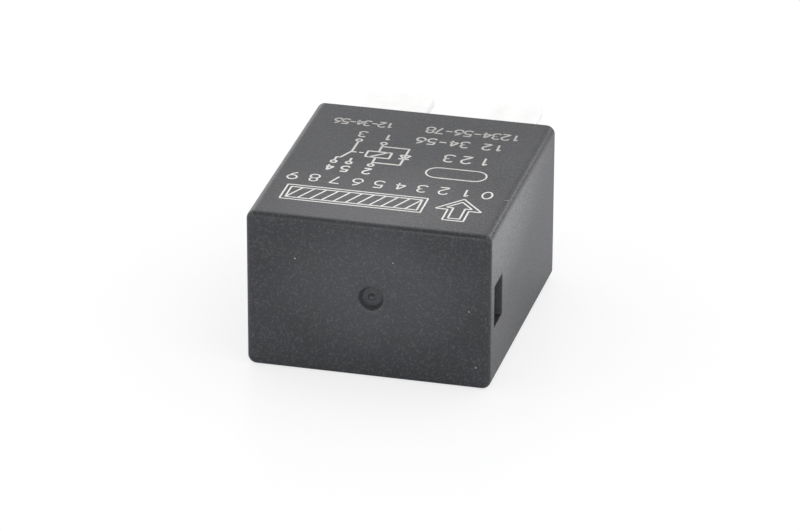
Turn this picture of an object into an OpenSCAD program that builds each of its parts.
// Changeover micro relay with five blades: a moulded cover over a base plate, a coil in an
// iron frame, and a hinged armature that carries the moving contact between two fixed ones.
//
// Each piece is drawn standing on its seat, blades down, and lay() then turns the relay on
// its broad back: X is the width, +Y is the way the blades point, +Z is the printed face.

/* [Cover] */
// Width of the cover at its open rim
cover_w = 22.5; // [22:0.1:26]
// Thickness of the cover at its open rim
cover_t = 15.2; // [14.6:0.1:18]
// Height of the cover from the seat to the closed end
cover_h = 25.1; // [23:0.1:30]
// Thickness of the side walls
cover_wall = 0.9; // [0.7:0.05:1]
// Thickness of the closed end
end_wall = 1.0; // [0.7:0.05:1.3]
// Radius of the long outside edges
edge_r = 0.8; // [0.4:0.1:1.4]
// Radius of the outside edges around the closed end
end_edge_r = 0.5; // [0.3:0.1:0.8]
// Radius of the inside edges
inner_edge_r = 0.4; // [0.2:0.1:0.8]
// Draft of the side walls in degrees
draft_deg = 0.37; // [0:0.01:0.5]

/* [Cover details] */
// Height of the tool window along the cover
window_h = 3; // [2:0.1:3.5]
// Width of the tool window
window_w = 4; // [2:0.1:5]
// Distance from the closed end to the window
window_from_end = 1.45; // [1.3:0.05:2.5]
// Diameter of the gate dimple at the surface
dimple_d = 2.3; // [1.5:0.1:3]
// Diameter of the dimple's floor
dimple_floor_d = 1.6; // [1:0.1:2.6]
// Depth of the gate dimple
dimple_depth = 0.4; // [0.1:0.05:0.5]
// Offset of the dimple from the middle along the width
dimple_x = 0.27; // [-2:0.01:2]
// Offset of the dimple from the middle along the thickness
dimple_y = 0.21; // [-2:0.01:2]
// Diameter of the gate's stub in the dimple
gate_d = 0.7; // [0.4:0.1:1]
// Height of the gate's stub
gate_h = 0.15; // [0.05:0.05:0.25]

/* [Base] */
// Thickness of the base plate
base_t = 2.2; // [1.8:0.1:3]
// Gap between the base plate and the cover, each side
base_clear = 0.08; // [0.03:0.01:0.15]
// Depth of the recess in the base's underside
base_recess = 0.4; // [0.2:0.1:0.8]
// Width of the flat rim around the recess
base_rim = 1.1; // [0.8:0.1:1.3]
// Width of the collar around each blade
collar = 0.6; // [0.3:0.1:0.8]
// Reach of the snap ridge into the cover's wall
snap_reach = 0.3; // [0.15:0.05:0.4]
// Length of the snap ridge
snap_len = 6; // [3:0.5:9]
// Thickness of the snap ridge
snap_t = 0.5; // [0.3:0.1:0.8]
// Clearance around the snap ridge in its groove
snap_clear = 0.05; // [0.02:0.01:0.1]
// Clearance around a blade in its slot
slot_clear = 0.04; // [0.02:0.01:0.08]

/* [Blades] */
// Thickness of the blades
blade_t = 0.8; // [0.6:0.1:0.9]
// Length of the blades below the seat
blade_len = 11; // [8:0.5:14]
// Width of the coil blades and the middle blade
small_blade_w = 4.8; // [4:0.1:5]
// Width of the two load blades
load_blade_w = 6.3; // [5.5:0.1:6.5]
// Half the distance between the blade columns
blade_x = 5.6; // [5.5:0.1:6]
// Half the distance between the blade rows
blade_y = 4.5; // [4.4:0.1:4.9]
// Length of the tapered tip
tip_len = 1.3; // [0.8:0.1:2]
// Thickness of the tip's end
tip_t = 0.4; // [0.2:0.05:0.5]
// Width that the tip loses at each side
tip_side = 0.8; // [0.5:0.1:1.4]

/* [Magnet] */
// Thickness of the yoke
yoke_t = 1.2; // [1:0.1:1.4]
// Width of the yoke's upright leg
yoke_w = 10; // [8:0.5:11]
// Width of the bevel on the yoke's upper back edge, inside the leaf's bend
yoke_bevel = 0.3; // [0.2:0.05:0.35]
// Width of the yoke's lower leg, between the coil blades
yoke_foot_w = 7.6; // [6:0.1:7.8]
// Room between the base plate and the yoke
under_room = 2.5; // [2.3:0.1:3]
// Room for the leaf spring and its rivets behind the yoke
spring_room = 0.95; // [0.85:0.05:1.2]
// Diameter of the core
core_d = 4.8; // [4:0.1:5]
// Diameter of the pole face
pole_d = 8; // [6.5:0.1:9]
// Thickness of the pole face
pole_t = 0.9; // [0.7:0.1:1.2]
// Diameter of the core's riveted end
rivet_end_d = 3.2; // [2.6:0.1:3.6]
// Thickness of the riveted head under the yoke
rivet_head_t = 0.3; // [0.2:0.05:0.35]
// Running gap of the core in the bobbin and in the yoke
core_clear = 0.03; // [0.02:0.01:0.05]
// Side of the bobbin's square flanges
flange_w = 11.5; // [10.6:0.1:11.8]
// Thickness of the bobbin's flanges
flange_t = 0.9; // [0.7:0.1:1.1]
// Corner radius of the flanges
flange_r = 1.2; // [0.5:0.1:2]
// Wall of the bobbin's tube
tube_wall = 0.5; // [0.4:0.05:0.7]
// Gap between the bobbin and the yoke
bobbin_gap = 0.15; // [0.1:0.05:0.25]
// Depth of the copper on the bobbin's tube
winding_depth = 2.0; // [1:0.1:2.1]
// Diameter of the winding's end wires
wire_d = 0.2; // [0.1:0.05:0.3]
// Turns of each end wire on its post
post_turns = 4; // [2:1:6]

/* [Armature] */
// Thickness of the armature
armature_t = 1.2; // [1:0.1:1.4]
// Width of the armature
armature_w = 9.6; // [8:0.1:10.5]
// Reach of the armature past the pole face
armature_over = 0.6; // [0.2:0.1:0.9]
// Angle of the open armature in degrees
open_deg = 3; // [2:0.25:3.5]
// Air left between the closed armature and the iron below it
residual_gap = 0.05; // [0.03:0.01:0.1]
// Distance from the yoke's back to the armature's pivot edge
heel_inset = 0.5; // [0.4:0.05:0.7]
// Thickness of the leaf spring
leaf_t = 0.2; // [0.1:0.05:0.25]
// Width of the leaf spring
leaf_w = 8.4; // [7:0.1:9]
// Gap between the leaf's leg and the yoke and its rivets
leaf_clear = 0.01; // [0.01:0.01:0.03]
// Bend radius inside the leaf
bend_r = 1.6; // [1.4:0.1:1.9]
// Length of the leaf's leg below the yoke's top
leg_len = 9; // [8:0.5:11]
// Distance between the two rivets of a pair
rivet_pitch = 5; // [4:0.1:5.6]
// Diameter of the small rivets
rivet_d = 1.2; // [0.8:0.1:1.4]
// Diameter of their heads
rivet_head_d = 2.1; // [1.6:0.1:2.4]
// Height of their heads
rivet_head_h = 0.35; // [0.2:0.05:0.4]
// Depth of the yoke's rivets below its top
yoke_rivet_drop = 6.5; // [5:0.5:7]
// Distance from the pivot to the armature's rivets
armature_rivet_in = 3.4; // [3:0.1:4]

/* [Contacts] */
// Diameter of the contact faces
contact_d = 2.6; // [2:0.1:3]
// Height of a contact's head
contact_h = 0.6; // [0.4:0.05:0.8]
// Radius of the crowned contact faces
crown_r = 6; // [5:0.5:12]
// Diameter of a contact's shank
shank_d = 1.3; // [1:0.1:1.6]
// Gap left between closed contacts
contact_clear = 0.03; // [0.02:0.01:0.05]
// Height of a fixed contact's riveted tail
tail_h = 0.3; // [0.2:0.05:0.4]
// Width of the leaf's end around the moving contact
leaf_end_w = 3.2; // [3:0.1:3.6]
// Width of the fixed contact arms
arm_w = 2.8; // [2.6:0.1:3.2]
// Gap between the leaf's end and the riser beside it
side_gap = 0.6; // [0.4:0.05:0.8]
// Gap between the riser and the cover
riser_gap = 0.2; // [0.1:0.05:0.3]
// Gap between the highest contact and the closed end
top_gap = 0.6; // [0.3:0.1:1]

/* [Diode] */
// Diameter of the diode's body
diode_d = 1.9; // [1.6:0.1:2]
// Length of the diode's body
diode_len = 4.2; // [3.5:0.1:5]
// Diameter of its leads
diode_lead_d = 0.5; // [0.4:0.05:0.6]
// Gap between the diode and the base plate
diode_gap = 0.2; // [0.1:0.05:0.25]

/* [Hidden] */

$fn = 64;
corner_fn = 32;         // for the corners inside a hull
edge_steps = 6;         // cones in a corner's quarter turn
eps = 0.01;             // a cut runs past a face by this much
join = 0.05;            // an outline runs past what cuts it by this much
bend_steps = 16;        // flats around the leaf's bend
through = 5;            // and a hole runs past its sheet by this much

// Inside of the cover
slope = tan(draft_deg);
end_z = cover_h - end_wall;
function inner_x(z) = cover_w / 2 - cover_wall - slope * z;
function inner_y(z) = cover_t / 2 - cover_wall - slope * z;

// Places along the width
yoke_back = inner_x(end_z) - spring_room;
yoke_front = yoke_back - yoke_t;
coil_x = yoke_front - bobbin_gap - flange_w / 2;
riser_back = riser_gap - inner_x(end_z);
riser_front = riser_back + blade_t;
contact_x = riser_front + side_gap + leaf_end_w / 2;
pivot_x = yoke_back - heel_inset;
armature_nose = coil_x - pole_d / 2 - armature_over;
post_offset = 1;        // the posts stand this far from the middle of their blades
post_x = blade_x + post_offset;

// Heights, from the closed end down to the pivot and from the seat up to the coil
nc_arm_z = end_z - top_gap - tail_h - blade_t;
nc_face_z = nc_arm_z - contact_h;
contact_reach = pivot_x - contact_x;
armature_top = residual_gap + armature_t;
contact_top = armature_top + leaf_t + contact_h;
pivot_z = nc_face_z - contact_clear
    - contact_reach * sin(open_deg) - (contact_top - crown_r) * cos(open_deg) - crown_r;
nc_contact_x = pivot_x - contact_reach * cos(open_deg) + (contact_top - crown_r) * sin(open_deg);
no_face_z = pivot_z + armature_top - contact_h - contact_clear;
no_arm_z = no_face_z - contact_h - blade_t;
yoke_z = base_t + under_room;
lower_flange_z = yoke_z + yoke_t;
winding_z = lower_flange_z + flange_t;
upper_flange_z = pivot_z - pole_t - flange_t;
winding_h = upper_flange_z - winding_z;
tube_r = core_d / 2 + core_clear + tube_wall;
winding_r = tube_r + winding_depth;

// The leaf's bend touches both the upright leg and the tilted arm
bend_x = yoke_back + leaf_clear - bend_r;
bend_z = pivot_z + (armature_top - bend_r - sin(open_deg) * (bend_x - pivot_x)) / cos(open_deg);
arm_start_x = pivot_x + (bend_x - pivot_x) * cos(open_deg) - (bend_z - pivot_z) * sin(open_deg);
heel_gap = 0.1;
heel_z = pivot_z + armature_top - bend_r
    + sqrt(pow(bend_r - heel_gap, 2) - pow(pivot_x - arm_start_x, 2));

// Base plate and blades
base_x = inner_x(base_t) - base_clear;
base_y = inner_y(base_t) - base_clear;
snap_z = base_t / 2;
shoulder = 1.1;         // a blade's full width ends this far above the base plate
post_w = 1.2;
post_rise = 2.8;        // height of the posts above the winding's lower end
post_z = winding_z + post_rise;
plate_w = 3.4;          // width of the middle terminal's plate and riser
foot_x = -2.6;          // end of the yoke's lower leg
pad_gap = 0.25;
tab_x = coil_x - rivet_end_d / 2 - rivet_head_t - pad_gap;
BLADES = [
    [blade_x, -blade_y, small_blade_w], [blade_x, blade_y, small_blade_w],
    [-blade_x, blade_y, load_blade_w], [0, 0, small_blade_w], [-blade_x, -blade_y, load_blade_w]
];

// Colours
black_plastic = [0.13, 0.13, 0.14];
tinned = [0.78, 0.78, 0.76];
iron = [0.62, 0.63, 0.64];

// Turns the standing relay on its back
module lay() rotate([90, 0, 0]) children();

// Turns what the closed armature carries to its open place
module opened() translate([pivot_x, 0, pivot_z]) rotate([0, open_deg, 0])
    translate([-pivot_x, 0, -pivot_z]) children();

// A box between two corners
module block(low, high) translate(low) cube(high - low);

// A plate with round upright corners, standing on z = 0
module round_plate(half_x, half_y, t, r) union() {
    block([-half_x + r, -half_y, 0], [half_x - r, half_y, t]);
    block([-half_x, -half_y + r, 0], [half_x, half_y - r, t]);
    for (sx = [-1, 1], sy = [-1, 1])
        translate([sx * (half_x - r), sy * (half_y - r), 0]) cylinder(r = r, h = t);
}

// Radius and height of a round edge at a step on its quarter turn
function edge_in(r, step) = r * (1 - cos(90 * step / edge_steps));
function edge_up(r, step) = r * sin(90 * step / edge_steps);

// A block that narrows with the draft, closed at height h, with radius r on its long edges and
// end_r around its closed end
module drafted_block(half_x, half_y, h, r, end_r) {
    hull() for (sx = [-1, 1], sy = [-1, 1]) {
        translate([sx * (half_x - r), sy * (half_y - r), 0])
            cylinder(r = r, h = eps, $fn = corner_fn);
        for (step = [0 : edge_steps - 1])
            translate([sx * (half_x - slope * h - r), sy * (half_y - slope * h - r),
                       h - end_r + edge_up(end_r, step)])
                cylinder(r1 = r - edge_in(end_r, step), r2 = r - edge_in(end_r, step + 1),
                         h = edge_up(end_r, step + 1) - edge_up(end_r, step), $fn = corner_fn);
    }
}

module cover() {
    color(black_plastic) lay() difference() {
        drafted_block(cover_w / 2, cover_t / 2, cover_h, edge_r, min(end_edge_r, edge_r));
        translate([0, 0, -eps])
            drafted_block(inner_x(0), inner_y(0), end_z + eps, inner_edge_r, inner_edge_r);
        block([-cover_w, -window_w / 2, cover_h - window_from_end - window_h],
              [cover_w, window_w / 2, cover_h - window_from_end]);
        block([-base_x - snap_reach - snap_clear, -snap_len / 2 - snap_clear,
               snap_z - snap_t / 2 - snap_clear],
              [base_x + snap_reach + snap_clear, snap_len / 2 + snap_clear,
               snap_z + snap_t / 2 + snap_clear]);
        translate([dimple_x, dimple_y, cover_h - dimple_depth]) difference() {
            cylinder(d1 = dimple_floor_d, d2 = dimple_d, h = dimple_depth + eps);
            translate([0, 0, -eps]) cylinder(d = gate_d, h = gate_h + eps);
        }
    }
}

module base() {
    color(black_plastic) lay() difference() {
        union() {
            round_plate(base_x, base_y, base_t, inner_edge_r);
            block([-base_x - snap_reach, -snap_len / 2, snap_z - snap_t / 2],
                  [base_x + snap_reach, snap_len / 2, snap_z + snap_t / 2]);
            // pads that carry the yoke and the common terminal's tab
            block([post_x + diode_d / 2, -yoke_foot_w / 2 + pad_gap, base_t - eps],
                  [yoke_back, yoke_foot_w / 2 - pad_gap, yoke_z]);
            block([foot_x + pad_gap, -yoke_foot_w / 2 + pad_gap, base_t - eps],
                  [tab_x, -blade_t / 2 - pad_gap, yoke_z]);
            block([foot_x + pad_gap, plate_w / 2 + 2 * pad_gap, base_t - eps],
                  [tab_x, yoke_foot_w / 2 - pad_gap, yoke_z - blade_t]);
        }
        difference() {
            block([-base_x + base_rim, -base_y + base_rim, -eps],
                  [base_x - base_rim, base_y - base_rim, base_recess]);
            for (b = BLADES) translate([b[0], b[1], 0])
                cube([b[2] + 2 * collar, blade_t + 2 * collar, 2 * base_t], center = true);
        }
        for (b = BLADES) translate([b[0], b[1], 0])
            cube([b[2] + 2 * slot_clear, blade_t + 2 * slot_clear, 3 * base_t], center = true);
    }
}

// A blade of width w from its tapered tip up to height top
module blade(w, top) {
    tip_z = -blade_len;
    intersection() {
        rotate([90, 0, 0]) linear_extrude(height = blade_t, center = true) polygon([
            [-w / 2 + tip_side, tip_z], [w / 2 - tip_side, tip_z], [w / 2, tip_z + tip_len],
            [w / 2, top], [-w / 2, top], [-w / 2, tip_z + tip_len]
        ]);
        rotate([90, 0, 90]) linear_extrude(height = w, center = true) polygon([
            [-tip_t / 2, tip_z], [tip_t / 2, tip_z], [blade_t / 2, tip_z + tip_len],
            [blade_t / 2, top], [-blade_t / 2, top], [-blade_t / 2, tip_z + tip_len]
        ]);
    }
}

// A coil blade on one side, with the post for the winding's wire
module coil_terminal(side) {
    color(tinned) lay() union() {
        translate([blade_x, side * blade_y, 0]) blade(small_blade_w, base_t + shoulder);
        translate([post_x, side * blade_y, (base_t + post_z) / 2])
            cube([post_w, blade_t, post_z - base_t], center = true);
    }
}

module coil_terminal_1() coil_terminal(-1);

module coil_terminal_2() coil_terminal(1);

// The tab is bent over under the yoke's lower leg and welded to it
module common_terminal_3() {
    color(tinned) lay() union() {
        translate([-blade_x, blade_y, 0]) blade(load_blade_w, yoke_z);
        block([-blade_x - load_blade_w / 2, plate_w / 2 + 2 * pad_gap, yoke_z - blade_t],
              [tab_x, blade_y + blade_t / 2, yoke_z]);
    }
}

// One strip: blade, plate on the base, riser beside the contacts, and arm over them
module nc_terminal_4() {
    color(tinned) lay() difference() {
        union() {
            blade(small_blade_w, base_t + blade_t);
            block([riser_back, -blade_t / 2, base_t],
                  [small_blade_w / 2, plate_w / 2, base_t + blade_t]);
            block([riser_back, -plate_w / 2, base_t],
                  [-small_blade_w / 2 - pad_gap, plate_w / 2, base_t + blade_t]);
            block([riser_back, -plate_w / 2, base_t],
                  [riser_front, plate_w / 2, nc_arm_z + blade_t]);
            block([riser_back, -plate_w / 2, nc_arm_z],
                  [nc_contact_x + arm_w / 2, plate_w / 2, nc_arm_z + blade_t]);
        }
        translate([nc_contact_x, 0, nc_arm_z - through])
            cylinder(d = shank_d, h = blade_t + 2 * through);
    }
}

// Blade, riser and the arm that is bent over under the moving contact
module no_terminal_5() {
    arm_x = contact_x - arm_w / 2;
    color(tinned) lay() difference() {
        union() {
            translate([-blade_x, -blade_y, 0]) blade(load_blade_w, base_t + shoulder);
            block([arm_x, -blade_y - blade_t / 2, base_t],
                  [arm_x + arm_w, -blade_y + blade_t / 2, no_arm_z + blade_t]);
            block([arm_x, -blade_y - blade_t / 2, no_arm_z],
                  [arm_x + arm_w, arm_w / 2, no_arm_z + blade_t]);
        }
        translate([contact_x, 0, no_arm_z - through])
            cylinder(d = shank_d, h = blade_t + 2 * through);
    }
}

// Two upright pins or holes in the yoke's back, from its front face outwards
module at_yoke_rivets() for (side = [-1, 1])
    translate([yoke_front, side * rivet_pitch / 2, pivot_z - yoke_rivet_drop])
        rotate([0, 90, 0]) children();

// The same in the armature, from its underside up
module at_armature_rivets() for (side = [-1, 1])
    translate([pivot_x - armature_rivet_in, side * rivet_pitch / 2, pivot_z + residual_gap])
        children();

module yoke() {
    color(iron) lay() difference() {
        union() {
            block([foot_x, -yoke_foot_w / 2, yoke_z], [yoke_back, yoke_foot_w / 2, lower_flange_z]);
            rotate([90, 0, 0]) linear_extrude(height = yoke_w, center = true) polygon([
                [yoke_front, yoke_z], [yoke_back, yoke_z],
                [yoke_back, min(bend_z, pivot_z - yoke_bevel)],
                [yoke_back - yoke_bevel, pivot_z], [yoke_front, pivot_z]
            ]);
        }
        translate([coil_x, 0, yoke_z - through])
            cylinder(d = rivet_end_d + 2 * core_clear, h = yoke_t + 2 * through);
        at_yoke_rivets() translate([0, 0, -eps]) cylinder(d = rivet_d, h = yoke_t + 2 * eps);
    }
}

module core() {
    color(iron) lay() translate([coil_x, 0, 0]) union() {
        translate([0, 0, yoke_z - rivet_head_t])
            cylinder(d = rivet_end_d + 2 * rivet_head_t, h = rivet_head_t);
        translate([0, 0, yoke_z - rivet_head_t])
            cylinder(d = rivet_end_d, h = yoke_t + 2 * rivet_head_t);
        translate([0, 0, lower_flange_z]) cylinder(d = core_d, h = pivot_z - lower_flange_z);
        translate([0, 0, pivot_z - pole_t]) cylinder(d = pole_d, h = pole_t);
    }
}

// One square flange with round corners
module flange(z) translate([coil_x, 0, z])
    round_plate(flange_w / 2, flange_w / 2, flange_t, flange_r);

module bobbin() {
    color([0.85, 0.82, 0.74]) lay() difference() {
        union() {
            flange(lower_flange_z);
            flange(upper_flange_z);
            translate([coil_x, 0, lower_flange_z])
                cylinder(r = tube_r, h = upper_flange_z - lower_flange_z + flange_t);
        }
        translate([coil_x, 0, lower_flange_z - eps])
            cylinder(d = core_d + 2 * core_clear, h = winding_h + 2 * flange_t + 2 * eps);
        // open slots for the two posts
        for (side = [-1, 1]) translate([post_x, side * (blade_y + flange_w / 4), lower_flange_z])
            cube([post_w + 2 * slot_clear, blade_t + 2 * slot_clear + flange_w / 2,
                  3 * flange_t], center = true);
    }
}

// The end wire runs from the winding to its post and round it
module end_wire(side) {
    reach = norm([post_x - coil_x, blade_y]) - winding_r - blade_t / sqrt(2) + wire_d / 2;
    wrap_h = post_turns * wire_d;
    wrap_z = post_z - wrap_h - wire_d;
    translate([coil_x, 0, wrap_z + wire_d / 2])
        rotate([0, 0, side * atan2(blade_y, post_x - coil_x)])
            translate([winding_r - wire_d, 0, 0]) rotate([0, 90, 0])
                cylinder(d = wire_d, h = reach, $fn = 24);
    translate([post_x, side * blade_y, wrap_z]) difference() {
        translate([-post_w / 2 - wire_d, -blade_t / 2 - wire_d, 0])
            cube([post_w + 2 * wire_d, blade_t + 2 * wire_d, wrap_h]);
        translate([-post_w / 2 - eps, -blade_t / 2 - eps, -eps])
            cube([post_w + 2 * eps, blade_t + 2 * eps, wrap_h + 2 * eps]);
    }
}

module winding() {
    color([0.72, 0.36, 0.18]) lay() union() {
        translate([coil_x, 0, winding_z]) difference() {
            cylinder(r = winding_r, h = winding_h);
            translate([0, 0, -eps]) cylinder(r = tube_r, h = winding_h + 2 * eps);
        }
        for (side = [-1, 1]) end_wire(side);
    }
}

// The heel's upper corner is coined away inside the leaf's bend
module armature() {
    low_z = pivot_z + residual_gap;
    high_z = low_z + armature_t;
    color(iron) lay() opened() difference() {
        rotate([90, 0, 0]) linear_extrude(height = armature_w, center = true) polygon([
            [armature_nose, low_z], [pivot_x, low_z], [pivot_x, heel_z],
            [arm_start_x, high_z], [armature_nose, high_z]
        ]);
        at_armature_rivets() translate([0, 0, -eps]) cylinder(d = rivet_d, h = armature_t + 2 * eps);
    }
}

// Points of the leaf's bend at radius r, from angle low to angle high
function bend_points(r, low, high) = [
    for (i = [0:bend_steps]) let (t = low + (high - low) * i / bend_steps)
        [bend_x + r * cos(t), bend_z + r * sin(t)]
];

// Side view of the leaf: upright leg, bend and tilted arm, with its flat end past the contact
function leaf_side() = let (
    leg_low = pivot_z - leg_len,
    arm_len = arm_start_x - contact_x + leaf_end_w / 2 + join,
    way = [-cos(open_deg), sin(open_deg)],
    inside = bend_points(bend_r, 0, 90 - open_deg),
    outside = bend_points(bend_r + leaf_t, 90 - open_deg, 0)
) concat(
    [[bend_x + bend_r, leg_low]], inside, [inside[bend_steps] + arm_len * way],
    [outside[0] + arm_len * way], outside, [[bend_x + bend_r + leaf_t, leg_low]]
);

// The leaf's outline from above narrows to a round end at the moving contact
module contact_spring() {
    neck_x = armature_nose - leaf_end_w / 2;
    color([0.80, 0.58, 0.30]) lay() difference() {
        intersection() {
            rotate([90, 0, 0]) linear_extrude(height = leaf_w + 2 * join, center = true)
                polygon(leaf_side());
            opened() {
                linear_extrude(height = 2 * cover_h) polygon([
                    [cover_w, -leaf_w / 2], [cover_w, leaf_w / 2],
                    [armature_nose, leaf_w / 2], [neck_x, leaf_end_w / 2],
                    [contact_x, leaf_end_w / 2], [contact_x, -leaf_end_w / 2],
                    [neck_x, -leaf_end_w / 2], [armature_nose, -leaf_w / 2]
                ]);
                translate([contact_x, 0, 0]) cylinder(d = leaf_end_w, h = 2 * cover_h);
            }
        }
        opened() translate([contact_x, 0, pivot_z]) cylinder(d = shank_d, h = through);
        opened() at_armature_rivets() cylinder(d = rivet_d, h = through);
        at_yoke_rivets() cylinder(d = rivet_d + 2 * leaf_clear, h = yoke_t + 2 * leaf_t);
    }
}

// A contact's head with its crowned face up, standing on z = 0
module crowned_head() intersection() {
    cylinder(d = contact_d, h = contact_h);
    translate([0, 0, contact_h - crown_r]) sphere(r = crown_r);
}

module moving_contact() {
    color([0.86, 0.85, 0.82]) lay() opened()
        translate([contact_x, 0, pivot_z + armature_top]) union() {
            cylinder(d = shank_d, h = leaf_t);
            translate([0, 0, leaf_t]) crowned_head();
            mirror([0, 0, 1]) crowned_head();
        }
}

// A fixed contact with its face up and its shank riveted through the arm below it
module fixed_contact() union() {
    crowned_head();
    translate([0, 0, -blade_t]) cylinder(d = shank_d, h = blade_t);
    translate([0, 0, -blade_t - tail_h]) cylinder(d = shank_d + 2 * tail_h, h = tail_h);
}

module nc_contact() {
    color([0.86, 0.85, 0.82]) lay() translate([nc_contact_x, 0, nc_arm_z])
        mirror([0, 0, 1]) fixed_contact();
}

module no_contact() {
    color([0.86, 0.85, 0.82]) lay() translate([contact_x, 0, no_arm_z + blade_t])
        fixed_contact();
}

// A rivet through sheets of thickness grip, with its head on top
module small_rivet(grip) union() {
    cylinder(d = rivet_d, h = grip);
    translate([0, 0, grip]) cylinder(d = rivet_head_d, h = rivet_head_h);
}

module spring_yoke_rivets() {
    color([0.75, 0.62, 0.35]) lay() at_yoke_rivets()
        small_rivet(yoke_t + leaf_t + 2 * leaf_clear);
}

module spring_armature_rivets() {
    color([0.75, 0.62, 0.35]) lay() opened() at_armature_rivets() small_rivet(armature_t + leaf_t);
}

// Lies across the relay, under the yoke and between the coil blades
module at_diode() translate([blade_x, 0, base_t + diode_gap + diode_d / 2])
    rotate([90, 0, 0]) children();

module diode() {
    color([0.75, 0.32, 0.18]) lay() at_diode() cylinder(d = diode_d, h = diode_len, center = true);
}

module diode_leads() {
    lead_len = blade_y - blade_t / 2 - diode_len / 2;
    color(tinned) lay() at_diode() for (side = [-1, 1])
        translate([0, 0, side * (diode_len + lead_len) / 2])
            cylinder(d = diode_lead_d, h = lead_len, center = true, $fn = 24);
}

cover();
base();
coil_terminal_1();
coil_terminal_2();
common_terminal_3();
nc_terminal_4();
no_terminal_5();
yoke();
core();
bobbin();
winding();
armature();
contact_spring();
moving_contact();
nc_contact();
no_contact();
spring_yoke_rivets();
spring_armature_rivets();
diode();
diode_leads();
